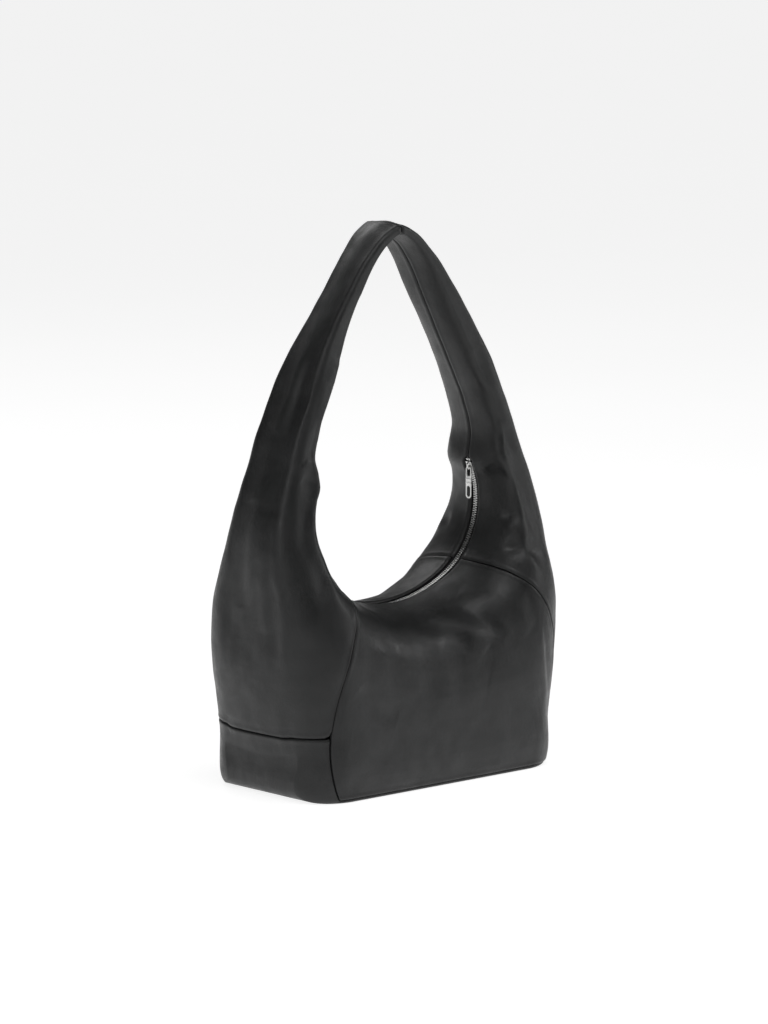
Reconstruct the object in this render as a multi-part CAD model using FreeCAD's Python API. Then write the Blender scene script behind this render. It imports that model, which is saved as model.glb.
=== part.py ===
import FreeCAD, Part
import math
import os

# Soft leather hobo bag.  Millimetres.  X runs along the long side, the front faces -Y, Z is up,
# and the origin is on the ground under the middle of the base.

# Walls: height, half length, half depth, plan corner radius of the closed outer shape there.
WALLS = (
    (0, 166, 91, 44), (50, 173, 92, 42), (110, 181, 93, 40), (160, 186, 92, 42),
    (200, 188, 84, 36), (235, 186, 68, 30), (270, 181, 54, 24), (300, 173, 46, 20),
    (350, 154, 41, 15), (400, 138, 36, 10), (455, 110, 30, 7), (505, 76, 27, 6),
    (550, 41, 26, 5), (580, 0, 27, 4.5))
FLOOR_RADIUS = 10.0

# The mouth is a shallow arc that turns up at each end round a tighter bend.
MOUTH_RADIUS = 167.0
MOUTH_CENTRE_Z = 349.0
MOUTH_HALF_ANGLE = 30.0
BEND_RADIUS = 85.0
BEND_CENTRE_X = 41.0
BEND_CENTRE_Z = 278.0
TRACK_END = 118.8

LEATHER = 1.6
SEAM_GAP = 1.0
LINING_DEPTH = 4.6
LINING_INSET = 5.0
LINING = 0.6
LINING_EDGE = 17.0
BOARD = 2.0
BOARD_HALF = (138.0, 68.0)
BOARD_Z = 2.4
BASE_LINING_HALF = (146.0, 74.0)
BASE_LINING_Z = 5.0
LINING_FOOT = 12.0
BASE_LIFT = 0.6
SOLE_HALF = (138.0, 68.0)
SOLE_CORNER = 24.0
BASE_SEAM_HEIGHT = 70.0

# Metal zip: the tape's middle surface lies this far under the outer shape.
TAPE_DEPTH = 3.2
TAPE = 0.6
TAPE_HALF_WIDTH = 14.0
TAPE_EDGE = 3.3
MOUTH_EDGE = 6.2
TOOTH_REACH = 2.4
TOOTH_GAP = 0.5
TOOTH_HEIGHT = 2.2
TOOTH_WIDTH = 1.3
TOOTH_PITCH = 2.5
SLIDER_SLOPE = 113.5
SLIDER_LENGTH = 11.0
SLIDER_HALF_WIDTH = 4.4
FLANGE_LOW = 1.1
PLATE_LOW = 1.6
PLATE_HIGH = 2.7
BRIDGE_HIGH = 5.4
PIVOT_HEIGHT = 3.6
PIVOT_RADIUS = 0.6
PULL_LENGTH = 34.0
PULL_HALF_WIDTH = 4.2
PULL = 1.2

# The strap folds over about a line along X at this height.
FOLD_Z = 400.0
FOLD_GAP = 3.0
CORE = 4.0
CORE_INSET = 9.0
CORE_DISC = 10.0
FOOT_DEPTH = 28.0


def mouth(slope):
    """Point of the mouth's crest where the crest climbs at this many degrees."""
    angle = math.radians(slope - 90)
    if slope <= MOUTH_HALF_ANGLE:
        return MOUTH_RADIUS * math.cos(angle), MOUTH_CENTRE_Z + MOUTH_RADIUS * math.sin(angle)
    return BEND_CENTRE_X + BEND_RADIUS * math.cos(angle), BEND_CENTRE_Z + BEND_RADIUS * math.sin(angle)


# Stations round the right half of the loop, from the bottom centre to the strap's apex:
# crest x and z, outer x and z, shoulder length, shoulder fullness.
STATIONS = (
    mouth(0) + (0, 0, 60, 2.3),
    mouth(14) + (45, 0, 60, 2.3),
    mouth(27) + (90, 0, 60, 2.4),
    mouth(36) + (126, 0, 58, 2.5),
    mouth(44) + (150, 0, 54, 2.6),
    mouth(50) + (167, 4, 50, 2.6),
    mouth(56) + (175, 50, 46, 2.5),
    mouth(63) + (181, 110, 40, 2.4),
    mouth(71) + (186, 160, 34, 2.3),
    mouth(80) + (188, 205, 29, 2.2),
    mouth(89) + (185, 243, 25, 2.1),
    mouth(98) + (178, 280, 22, 2.0),
    mouth(107) + (169, 310, 19, 1.9),
    mouth(117) + (159, 338, 17, 1.9),
    (120, 350, 150, 370, 15, 1.9),
    (110, 384, 139, 400, 13, 1.8),
    (94, 418, 122, 434, 11, 1.8),
    (73, 460, 99, 472, 9, 1.8),
    (50, 504, 70, 513, 7, 1.8),
    (30, 541, 42, 550, 5, 1.8),
    (14, 560, 19, 572, 4, 1.8),
    (0, 568, 0, 580, 4, 1.8))
STRAP_FLARE = 0.18
# The side seam down the front wall: control points of one smooth curve, x and z.
SIDE_SEAM = (mouth(44), (118, 175), (178, 104), (155, 3))
FLOOR_STATION = 5
LEG_FROM = 10
LEG_TO = 14


def station_knots():
    """Distance round the loop at each station, halfway between the crest and the outer edge."""
    knots = [0.0]
    for near, far in zip(STATIONS, STATIONS[1:]):
        inner = math.hypot(far[0] - near[0], far[1] - near[1])
        outer = math.hypot(far[2] - near[2], far[3] - near[3])
        knots.append(knots[-1] + (inner + outer) / 2)
    return knots


KNOTS = station_knots()
APEX = KNOTS[-1]
MIRROR = (-1, 1, -1, 1, 1, 1)


def tangent(values, places):
    """Slope of a smooth curve at the middle one of three values."""
    before = (values[1] - values[0]) / (places[1] - places[0])
    after = (values[2] - values[1]) / (places[2] - places[1])
    return (before * (places[2] - places[1]) + after * (places[1] - places[0])) / (places[2] - places[0])


def hermite(u, span, start, end, start_slope, end_slope):
    rise = u * u * (3 - 2 * u)
    return ((1 - rise) * start + rise * end
            + span * (u * (1 - u) ** 2 * start_slope - u * u * (1 - u) * end_slope))


def wall(z, column):
    """Smooth value of one column of WALLS at a height."""
    z = min(max(z, 0), WALLS[-1][0])
    i = 0
    while i < len(WALLS) - 2 and z > WALLS[i + 1][0]:
        i += 1
    slopes = []
    for k in (i, i + 1):
        if k == 0 or k == len(WALLS) - 1:
            a, b = (WALLS[0], WALLS[1]) if k == 0 else (WALLS[-2], WALLS[-1])
            slopes.append((b[column] - a[column]) / (b[0] - a[0]))
            continue
        rows = WALLS[k - 1:k + 2]
        before = (rows[1][column] - rows[0][column]) * (rows[2][column] - rows[1][column])
        slopes.append(0.0 if before <= 0 else tangent([r[column] for r in rows], [r[0] for r in rows]))
    span = WALLS[i + 1][0] - WALLS[i][0]
    return hermite((z - WALLS[i][0]) / span, span, WALLS[i][column], WALLS[i + 1][column], *slopes)


def station(t):
    """The station's six numbers at place t round the loop; negative t is the left half."""
    place = min(abs(t), APEX)
    last = len(STATIONS) - 1
    i = 0
    while i < last - 1 and place > KNOTS[i + 1]:
        i += 1
    rows = []
    places = []
    for k in range(i - 1, i + 3):
        mirrored = k < 0 or k > last
        index = -k if k < 0 else 2 * last - k if k > last else k
        rows.append([v * m for v, m in zip(STATIONS[index], MIRROR)] if mirrored else STATIONS[index])
        places.append(-KNOTS[index] if k < 0 else 2 * APEX - KNOTS[index] if k > last else KNOTS[index])
    span = places[2] - places[1]
    u = (place - places[1]) / span
    values = []
    for column in zip(*rows):
        start_slope = tangent(column[0:3], places[0:3])
        end_slope = tangent(column[1:4], places[1:4])
        values.append(hermite(u, span, column[1], column[2], start_slope, end_slope))
    if t < 0:
        values = [v * m for v, m in zip(values, MIRROR)]
    return values


def corner_drop(radius, edge):
    """How far a rounded corner has fallen away at this distance from its edge."""
    edge = min(max(edge, 0.0), radius)
    return radius - math.sqrt(max(radius ** 2 - (radius - edge) ** 2, 0.0))


def smooth(low, high, value):
    u = min(max((value - low) / (high - low), 0.0), 1.0)
    return u * u * (3 - 2 * u)


def skin(t, w):
    """Outer shape: w is 0 at the front crest, 1 at the outer corner, 2 at the outer middle, 4 at the back crest."""
    back = w > 2
    w = 4 - w if back else w
    crest_x, crest_z, outer_x, outer_z, shoulder, fullness = station(t)
    length = math.hypot(outer_x - crest_x, outer_z - crest_z)
    s = min(w, 1.0)
    x = crest_x + (outer_x - crest_x) * s
    z = crest_z + (outer_z - crest_z) * s
    leg = smooth(KNOTS[LEG_FROM], KNOTS[LEG_TO], abs(t))
    edge = (1 - leg) * (wall(z, 1) - abs(x)) + leg * (1 - s) * length
    depth = wall(z, 2) - corner_drop(wall(z, 3), edge) - corner_drop(FLOOR_RADIUS, z)
    open_share = 1 - min(s * length / shoulder, 1.0)
    depth = max(depth, 0.5) * (1 - open_share ** fullness) ** (1 / fullness)
    if w > 1:
        lifted = smooth(0, 40, outer_z)
        bulge = (4 - 2 * leg) * lifted * (1 - (2 - w) ** 2) / length
        x += bulge * (outer_x - crest_x)
        z += bulge * (outer_z - crest_z)
        depth *= 2 - w
    y = depth if back else -depth
    flare = STRAP_FLARE * smooth(420, 520, z) * min(max(x / 50, -1), 1)
    return x - flare * y, y, z


def solve(low, high, rises):
    """Value between low and high where rises(value) turns from negative to positive."""
    for _ in range(40):
        middle = (low + high) / 2
        if rises(middle) < 0:
            low = middle
        else:
            high = middle
    return (low + high) / 2


def blend(a, start, end):
    return start + (end - start) * a


def at_depth(t, depth):
    """w where the front shoulder has reached this distance from the middle plane."""
    return solve(0.0, 0.7, lambda w: -skin(t, w)[1] - depth)


def fold_place(w, side):
    """Place where the leg meets the fold's V, below (-1) or above (1) the fold line, along one value of w."""

    def above(t):
        x, y, z = skin(t, w)
        return z - FOLD_Z - side * (abs(y) + FOLD_GAP)

    return solve(KNOTS[12], KNOTS[20], above)


def flat(t, w):
    """Where a place on the front wall lies seen straight from the front."""
    crest_x, crest_z, outer_x, outer_z = station(t)[:4]
    return crest_x + (outer_x - crest_x) * w, crest_z + (outer_z - crest_z) * w


def place_of(x, z):
    """Place (t, w) on the front wall that lies at x and z seen from the front."""

    def beside(t):
        crest_x, crest_z, outer_x, outer_z = station(t)[:4]
        return (crest_z - z) * (outer_x - crest_x) - (crest_x - abs(x)) * (outer_z - crest_z)

    t = solve(KNOTS[3] if abs(x) > STATIONS[3][2] else 0, KNOTS[9], beside)
    crest_z, outer_z = station(t)[1], station(t)[3]
    return (t if x > 0 else -t), min(max((crest_z - z) / (crest_z - outer_z), 0), 1)


def seam_place(share):
    """Place (t, w) on the front wall a share of the way down the right side seam."""
    keep = 1 - share
    weights = (keep ** 3, 3 * keep ** 2 * share, 3 * keep * share ** 2, share ** 3)
    x = sum(weight * point[0] for weight, point in zip(weights, SIDE_SEAM))
    z = sum(weight * point[1] for weight, point in zip(weights, SIDE_SEAM))
    return place_of(x, z)


def level_place(w, height):
    """Place round the loop where the shape is at this height, along one value of w."""
    return solve(KNOTS[3], KNOTS[10], lambda t: skin(t, w)[2] - height)


def floor_edge(t, height):
    """w where the front wall comes down to this height."""
    crest_z, outer_z = station(t)[1], station(t)[3]
    return min((crest_z - height) / (crest_z - outer_z), 1.0)


def mouth_share(depth):
    """Share of the way down the side seam where it is this far from the middle plane."""
    return solve(0, 0.4, lambda share: -skin(*seam_place(share))[1] - depth)


def seam_share(height):
    """Share of the way down the side seam where it is at this height."""
    return solve(0, 1, lambda share: height - skin(*seam_place(share))[2])


def pair_blend(share, start, end):
    return tuple(blend(share, a, b) for a, b in zip(start, end))


def patch(u, v, low, high, left, right):
    """Point spread evenly between four curves: low and high run with u, left and right with v."""
    across_low = pair_blend(u, low(0), low(1))
    across_high = pair_blend(u, high(0), high(1))
    corners = pair_blend(v, across_low, across_high)
    between = pair_blend(v, low(u), high(u))
    beside = pair_blend(u, left(v), right(v))
    return tuple(a + b - c for a, b, c in zip(between, beside, corners))


HALF_GAP = SEAM_GAP / 2
FLOOR_EDGE = 3.0
BASE_EDGE = 2.0
SEAM_TURN = seam_share(BASE_SEAM_HEIGHT)
FLOOR_CORNER = KNOTS[FLOOR_STATION] - 5
SHOULDER = KNOTS[9]
TRACK_TOP = KNOTS[13]
BASE_TURN = 0.66
SIDE_TURN = 0.40


def wall_rule(top_depth, foot, inset):
    """Front wall between the side seams, less an inset, from the mouth down to a height over the ground."""
    top_share = mouth_share(top_depth)

    def seam(side):
        def line(v):
            t, w = seam_place(blend(v, top_share, 1))
            x, z = flat(t - inset, w)
            return side * x, z
        return line

    def mouth_line(u):
        t = (2 * u - 1) * (seam_place(top_share)[0] - inset)
        return flat(t, at_depth(t, top_depth))

    def floor_line(u):
        t = (2 * u - 1) * (seam_place(1)[0] - inset)
        return flat(t, floor_edge(t, foot))

    def rule(a, b):
        return place_of(*patch(a, b ** 1.1, mouth_line, floor_line, seam(-1), seam(1)))

    return rule


def outward(u, first_w):
    """w a share of the way from an edge to the outer middle, with finer steps near the edge."""
    return blend(u ** 1.5, first_w, 2)


def half_row(first_t, first_w, last_t):
    """Row from the side seam round to the outer middle."""
    return lambda u: (blend(1 - (1 - u) ** 2, first_t, last_t), outward(u, first_w))


def level_row(first_w, height):
    """Level row from the side seam round to the outer middle."""

    def row(u):
        w = outward(u, first_w)
        return level_place(w, height), w

    return row


def both_halves(b, half):
    """A piece that goes round the outside is the same in front (b = 0) and behind (b = 1)."""
    t, w = half(1 - abs(2 * b - 1))
    return t, (w if b < 0.5 else 4 - w)


def edge_depth(t, track_depth, strap_depth):
    """The side piece's edge is clear of the zip and closes up along the strap's inner seam."""
    return blend(smooth(TRACK_TOP, TRACK_TOP + 25, t), track_depth, strap_depth)


def side_rule(track_depth, height, inset, top):
    """Right side from a level foot up the leg; top gives the last place for each w."""
    top_share = mouth_share(track_depth)
    turn_share = seam_share(height)
    turn_w = seam_place(turn_share)[1]
    seam_top_t, seam_top_w = seam_place(top_share)
    shoulder_row = half_row(seam_top_t + inset, seam_top_w, SHOULDER)
    foot_row = level_row(turn_w, height)
    foot_middle = foot_row(1)[0]

    def seam_line(v):
        t, w = seam_place(blend(v, turn_share, top_share))
        return t + inset, w

    def middle_line(v):
        return blend(v, foot_middle, SHOULDER), 2.0

    def rule(a, b):
        if a < SIDE_TURN:
            return both_halves(b, lambda u: patch(u, a / SIDE_TURN, foot_row, shoulder_row, seam_line, middle_line))
        rise = (a - SIDE_TURN) / (1 - SIDE_TURN)

        def half(u):
            edge_t = blend(rise, seam_top_t + inset, top(2.0))
            edge_w = at_depth(edge_t, edge_depth(edge_t, track_depth, HALF_GAP))
            w = outward(u, edge_w)
            return blend(rise, shoulder_row(u)[0], top(w)), w

        return both_halves(b, half)

    return rule


def strap_rule(a, b):
    """Right half of the strap, from the fold up to the seam at the apex."""

    def half(u):
        guess = blend(a, fold_place(1.0, 1), APEX - HALF_GAP)
        w = blend(u, at_depth(guess, HALF_GAP), 2)
        return blend(a, fold_place(w, 1), APEX - HALF_GAP), w

    return both_halves(b, half)


def base_rule(a, b):
    """Base with its two turned-up ends, from the left end's seam under the bag to the right end's seam."""
    share_across = 2 * a - 1
    side = -1 if share_across < 0 else 1
    end_share = (abs(share_across) - BASE_TURN) / (1 - BASE_TURN)
    low_t, low_w = seam_place(1)
    corner_row = half_row(low_t + SEAM_GAP, low_w, FLOOR_CORNER)
    flap_row = level_row(seam_place(SEAM_TURN)[1], BASE_SEAM_HEIGHT - HALF_GAP)
    flap_middle = flap_row(1)[0]

    def seam_line(v):
        t, w = seam_place(blend(v, 1, SEAM_TURN))
        return t + SEAM_GAP, w

    def middle_line(v):
        return blend(v, FLOOR_CORNER, flap_middle), 2.0

    def half(u):
        if end_share > 0:
            t, w = patch(u, end_share, corner_row, flap_row, seam_line, middle_line)
            return side * t, w
        along = share_across / BASE_TURN
        edge_w = floor_edge(along * (low_t + SEAM_GAP), BASE_EDGE)
        return along * corner_row(u)[0], outward(u, edge_w)

    return both_halves(b, half)


def tape_rule(a, b):
    """Front half of the zip's tape, from the teeth out under the leather."""
    t = blend(a, -TRACK_TOP, TRACK_TOP)
    return t, at_depth(t, blend(b, TAPE_EDGE, TAPE_HALF_WIDTH))


def skin_grid(rule, rows, columns):
    """Points and outward normals of the outer shape over a rule that turns (a, b) into (t, w)."""
    step = 1e-3
    lines = []
    for i in range(rows + 1):
        line = []
        for j in range(columns + 1):
            a = i / rows
            b = j / columns
            a_low, a_high = max(a - step, 0), min(a + step, 1)
            b_low, b_high = max(b - step, 0), min(b + step, 1)
            along = FreeCAD.Vector(*skin(*rule(a_high, b))) - FreeCAD.Vector(*skin(*rule(a_low, b)))
            over = FreeCAD.Vector(*skin(*rule(a, b_high))) - FreeCAD.Vector(*skin(*rule(a, b_low)))
            normal = over.cross(along)
            normal.normalize()
            line.append((FreeCAD.Vector(*skin(*rule(a, b))), normal))
        lines.append(line)
    return lines


def clamped(count):
    """Knots and their repeats for a cubic that starts and ends on its first and last control points."""
    knots = [float(i) for i in range(count - 2)]
    return knots, [4] + [1] * (count - 4) + [4]


def sharpened(row):
    """Control points that carry a cubic curve through a row of points, to within a hair."""
    inner = [point - (after - point * 2 + before) / 6 for before, point, after in zip(row, row[1:], row[2:])]
    return [row[0]] + inner + [row[-1]]


def sheet(lines, depth, thickness):
    """Closed solid of one curved piece whose outer face lies at a depth under a grid of points and normals."""
    surfaces = []
    u_knots, u_counts = clamped(len(lines))
    v_knots, v_counts = clamped(len(lines[0]))
    for level in (depth, depth + thickness):
        rows = [sharpened([point - normal * level for point, normal in line]) for line in lines]
        columns = [sharpened(column) for column in zip(*rows)]
        poles = [list(row) for row in zip(*columns)]
        surface = Part.BSplineSurface()
        surface.buildFromPolesMultsKnots(poles, u_counts, v_counts, u_knots, v_knots, False, False, 3, 3)
        surfaces.append(surface)
    u_low, u_high, v_low, v_high = surfaces[0].bounds()
    faces = [surface.toShape() for surface in surfaces]
    for value in (u_low, u_high):
        faces.append(Part.makeRuledSurface(*[surface.uIso(value).toShape() for surface in surfaces]))
    for value in (v_low, v_high):
        faces.append(Part.makeRuledSurface(*[surface.vIso(value).toShape() for surface in surfaces]))
    shell = Part.Shell(faces)
    shell.sewShape()
    solid = Part.Solid(shell.Shells[0])
    if solid.Volume < 0:
        solid.reverse()
    return solid


def mirrored(shape, axis):
    return shape.mirror(FreeCAD.Vector(0, 0, 0), axis)


ACROSS_X = FreeCAD.Vector(1, 0, 0)
ACROSS_Y = FreeCAD.Vector(0, 1, 0)


def rounded_plate(half, corner, low, thickness):
    """Flat plate with rounded corners."""
    half_x, half_y = half
    plate = Part.makeBox(2 * half_x, 2 * half_y, thickness, FreeCAD.Vector(-half_x, -half_y, low))
    upright = [edge for edge in plate.Edges if abs(edge.tangentAt(edge.FirstParameter).z) > 0.9]
    return plate.makeFillet(corner, upright)


def base_panel():
    """The sheet clears the ground a little, and its flat middle is one sole that the bag stands on."""
    panel = sheet(skin_grid(base_rule, 56, 24), BASE_LIFT, LEATHER)
    return panel.fuse(rounded_plate(SOLE_HALF, SOLE_CORNER, 0, LEATHER)).Solids[0]


def core_lines(rows, columns):
    """Middle of the strap's core, from the left fold over the apex to the right fold."""
    lines = []
    for i in range(rows + 1):
        line = []
        for j in range(columns + 1):
            share = 2 * i / rows - 1
            side = -1 if share < 0 else 1
            y_share = 2 * j / columns - 1
            half = wall(FOLD_Z + 60, 2) - CORE_INSET
            y = y_share * half
            disc = math.sqrt(max((CORE_DISC + FOLD_GAP) ** 2 - y * y, 0))
            end_z = FOLD_Z + max(abs(y) + FOLD_GAP, disc)

            def middle(t):
                crest_x, crest_z, outer_x, outer_z = station(t)[:4]
                return (crest_x + outer_x) / 2, (crest_z + outer_z) / 2

            first = solve(KNOTS[12], KNOTS[20], lambda t: middle(t)[1] - end_z)
            t = blend(abs(share), APEX, first)
            crest_x, crest_z, outer_x, outer_z = station(t)[:4]
            normal = FreeCAD.Vector(side * (outer_x - crest_x), 0, outer_z - crest_z)
            normal.normalize()
            x, z = middle(t)
            x -= STRAP_FLARE * smooth(420, 520, z) * min(x / 50, 1) * y
            line.append((FreeCAD.Vector(side * x, y, z), normal))
        lines.append(line)
    return lines


def strap_foot():
    """Lower end of the strap's core in the right leg: a tongue with a round head on the fold line."""
    level = solve(KNOTS[12], KNOTS[20], lambda t: (station(t)[1] + station(t)[3]) / 2 - FOLD_Z)
    x = (station(level)[0] + station(level)[2]) / 2
    head = Part.makeCylinder(CORE_DISC, CORE, FreeCAD.Vector(x - CORE / 2, 0, FOLD_Z), ACROSS_X)
    half = CORE_DISC - FOLD_GAP
    corner = FreeCAD.Vector(x - CORE / 2, -half, FOLD_Z - FOOT_DEPTH)
    tongue = Part.makeBox(CORE, 2 * half, FOOT_DEPTH - 1, corner)
    return head.fuse(tongue).removeSplitter().Solids[0]


TAPE_MOUTH_RADIUS = MOUTH_RADIUS + TAPE_DEPTH
TAPE_BEND_RADIUS = BEND_RADIUS + TAPE_DEPTH
MOUTH_LENGTH = TAPE_MOUTH_RADIUS * math.radians(MOUTH_HALF_ANGLE)
BEND_LENGTH = TAPE_BEND_RADIUS * math.radians(TRACK_END - MOUTH_HALF_ANGLE)


def track(distance):
    """Slope, in degrees, of the zip's track at a distance from its middle; the left half is negative."""
    length = abs(distance)
    if length < MOUTH_LENGTH:
        slope = math.degrees(length / TAPE_MOUTH_RADIUS)
    else:
        slope = MOUTH_HALF_ANGLE + math.degrees((length - MOUTH_LENGTH) / TAPE_BEND_RADIUS)
    return slope if distance > 0 else -slope


def on_track(shape, slope):
    """Move a shape whose X runs along the track and Z points into the loop to its place on the zip."""
    angle = math.radians(abs(slope) - 90)
    side = -1 if slope < 0 else 1
    if abs(slope) <= MOUTH_HALF_ANGLE:
        x, z = 0, MOUTH_CENTRE_Z
        radius = TAPE_MOUTH_RADIUS
    else:
        x, z = BEND_CENTRE_X, BEND_CENTRE_Z
        radius = TAPE_BEND_RADIUS
    place = FreeCAD.Vector(side * (x + radius * math.cos(angle)), 0, z + radius * math.sin(angle))
    placed = shape.copy()
    placed.Placement = FreeCAD.Placement(place, FreeCAD.Rotation(ACROSS_Y, -slope))
    return placed


def block(x_low, x_high, y_low, y_high, z_low, z_high):
    corner = FreeCAD.Vector(x_low, y_low, z_low)
    return Part.makeBox(x_high - x_low, y_high - y_low, z_high - z_low, corner)


def teeth(side):
    """One row of separate metal teeth; the two rows are set half a pitch apart."""
    tooth = block(-TOOTH_WIDTH / 2, TOOTH_WIDTH / 2, TOOTH_GAP, TOOTH_GAP + TOOTH_REACH,
                  -TOOTH_HEIGHT / 2, TOOTH_HEIGHT / 2)
    if side < 0:
        tooth = mirrored(tooth, ACROSS_Y)
    reach = MOUTH_LENGTH + BEND_LENGTH - 4
    count = int(2 * reach / TOOTH_PITCH)
    row = []
    for i in range(count):
        distance = -reach + (i + 0.25 + 0.25 * side) * TOOTH_PITCH
        row.append(on_track(tooth, track(distance)))
    return Part.makeCompound(row)


def top_stops():
    """Two small clamps that stop the slider at the closed end."""
    reach = TOOTH_GAP + TOOTH_REACH
    stop = block(-1.6, 1.6, TOOTH_GAP, reach, -1.3, 1.3)
    place = track(MOUTH_LENGTH + BEND_LENGTH - 1)
    return Part.makeCompound([on_track(stop, place), on_track(mirrored(stop, ACROSS_Y), place)])


def bottom_stop():
    """One clamp across both rows at the open end."""
    reach = TOOTH_GAP + TOOTH_REACH
    return on_track(block(-1.8, 1.8, -reach, reach, -1.4, 1.4), track(-MOUTH_LENGTH - BEND_LENGTH + 1))


def slider():
    """Two plates whose flanges wrap the teeth, joined by a thin web between the rows."""
    half = SLIDER_LENGTH / 2
    wide = SLIDER_HALF_WIDTH
    solid = block(-half, half, -wide, wide, PLATE_LOW, PLATE_HIGH)
    solid = solid.fuse(block(-half, half, -wide, wide, -PLATE_HIGH, -PLATE_LOW))
    solid = solid.fuse(block(-half, half, -0.2, 0.2, -PLATE_LOW, PLATE_LOW))
    for side in (-1, 1):
        low, high = sorted((side * (wide - 1), side * wide))
        solid = solid.fuse(block(-half, half, low, high, FLANGE_LOW, PLATE_LOW))
        solid = solid.fuse(block(-half, half, low, high, -PLATE_LOW, -FLANGE_LOW))
    return on_track(solid.removeSplitter().Solids[0], SLIDER_SLOPE)


def bridge():
    """Arch on the slider that holds the pull."""
    arch = block(-4, 4, -1.2, 1.2, PLATE_HIGH, BRIDGE_HIGH)
    arch = arch.cut(block(-2.8, 2.8, -2, 2, PLATE_HIGH, PIVOT_HEIGHT + PIVOT_RADIUS + 0.3))
    return on_track(arch.Solids[0], SLIDER_SLOPE)


def pivot():
    """Middle of the pull's bar under the bridge."""
    angle = math.radians(SLIDER_SLOPE - 90)
    radius = TAPE_BEND_RADIUS - PIVOT_HEIGHT
    return BEND_CENTRE_X + radius * math.cos(angle), BEND_CENTRE_Z + radius * math.sin(angle)


def pull():
    """Flat tab hanging from the bridge: a slot at the top, two raised bars and a long hole at the foot."""
    x, z = pivot()
    wide = PULL_HALF_WIDTH
    foot = z - PULL_LENGTH
    tab = Part.makeBox(PULL, 2 * wide, z - foot - wide, FreeCAD.Vector(x - PULL / 2, -wide, foot + wide))
    tab = tab.fuse(Part.makeCylinder(wide, PULL, FreeCAD.Vector(x - PULL / 2, 0, foot + wide), ACROSS_X))
    slot = Part.makeBox(9, 2 * (wide - 1.4), 10, FreeCAD.Vector(x - 4, -(wide - 1.4), z - PIVOT_RADIUS - 10))
    tab = tab.cut(slot)
    for height in (foot + wide, foot + wide + 7):
        tab = tab.cut(Part.makeCylinder(wide - 1.5, 6, FreeCAD.Vector(x - 3, 0, height), ACROSS_X))
    tab = tab.cut(Part.makeBox(6, 2 * (wide - 1.5), 7, FreeCAD.Vector(x - 3, 1.5 - wide, foot + wide)))
    for height in (z - 14, z - 17.5):
        tab = tab.fuse(Part.makeBox(PULL + 0.8, 2 * wide, 1.6, FreeCAD.Vector(x - PULL / 2 - 0.4, -wide, height)))
    bar = Part.makeCylinder(PIVOT_RADIUS, 2 * wide, FreeCAD.Vector(x, -wide, z), ACROSS_Y)
    return tab.fuse(bar).removeSplitter().Solids[0]


def build():
    """Every piece of the bag by name."""
    front = sheet(skin_grid(wall_rule(MOUTH_EDGE, FLOOR_EDGE, HALF_GAP), 36, 26), 0, LEATHER)
    side_skin = side_rule(MOUTH_EDGE, BASE_SEAM_HEIGHT + HALF_GAP, HALF_GAP, lambda w: fold_place(w, -1))
    right = sheet(skin_grid(side_skin, 36, 36), 0, LEATHER)
    strap = sheet(skin_grid(strap_rule, 20, 28), 0, LEATHER)
    front_lining_rule = wall_rule(LINING_EDGE, LINING_FOOT, LINING_INSET)
    front_lining = sheet(skin_grid(front_lining_rule, 36, 22), LINING_DEPTH, LINING)
    side_lining_rule = side_rule(LINING_EDGE, BASE_SEAM_HEIGHT, LINING_INSET, lambda w: TRACK_TOP - 20)
    right_lining = sheet(skin_grid(side_lining_rule, 30, 36), LINING_DEPTH, LINING)
    tape = sheet(skin_grid(tape_rule, 60, 4), TAPE_DEPTH - TAPE / 2, TAPE)
    foot = strap_foot()
    return {
        "front_panel": front,
        "back_panel": mirrored(front, ACROSS_Y),
        "right_side_panel": right,
        "left_side_panel": mirrored(right, ACROSS_X),
        "base_panel": base_panel(),
        "base_board": rounded_plate(BOARD_HALF, 20, BOARD_Z, BOARD),
        "lining_front": front_lining,
        "lining_back": mirrored(front_lining, ACROSS_Y),
        "lining_right": right_lining,
        "lining_left": mirrored(right_lining, ACROSS_X),
        "lining_base": rounded_plate(BASE_LINING_HALF, 22, BASE_LINING_Z, LINING),
        "zip_tape_front": tape,
        "zip_tape_back": mirrored(tape, ACROSS_Y),
        "zip_teeth_front": teeth(-1),
        "zip_teeth_back": teeth(1),
        "zip_top_stops": top_stops(),
        "zip_bottom_stop": bottom_stop(),
        "zip_slider": slider(),
        "zip_slider_bridge": bridge(),
        "zip_pull": pull(),
        "right_strap_half": strap,
        "left_strap_half": mirrored(strap, ACROSS_X),
        "strap_core": sheet(core_lines(48, 8), -CORE / 2, CORE),
        "right_strap_foot": foot,
        "left_strap_foot": mirrored(foot, ACROSS_X),
    }


os.makedirs("parts", exist_ok=True)
for name, shape in build().items():
    print(name, shape.isValid(), len(shape.Solids), round(shape.Volume), shape.BoundBox)
    shape.exportStep("parts/" + name + ".step")
print("pull pivot", pivot())
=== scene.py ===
import math

import bmesh
import bpy
import numpy as np
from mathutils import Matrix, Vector, noise


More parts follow.
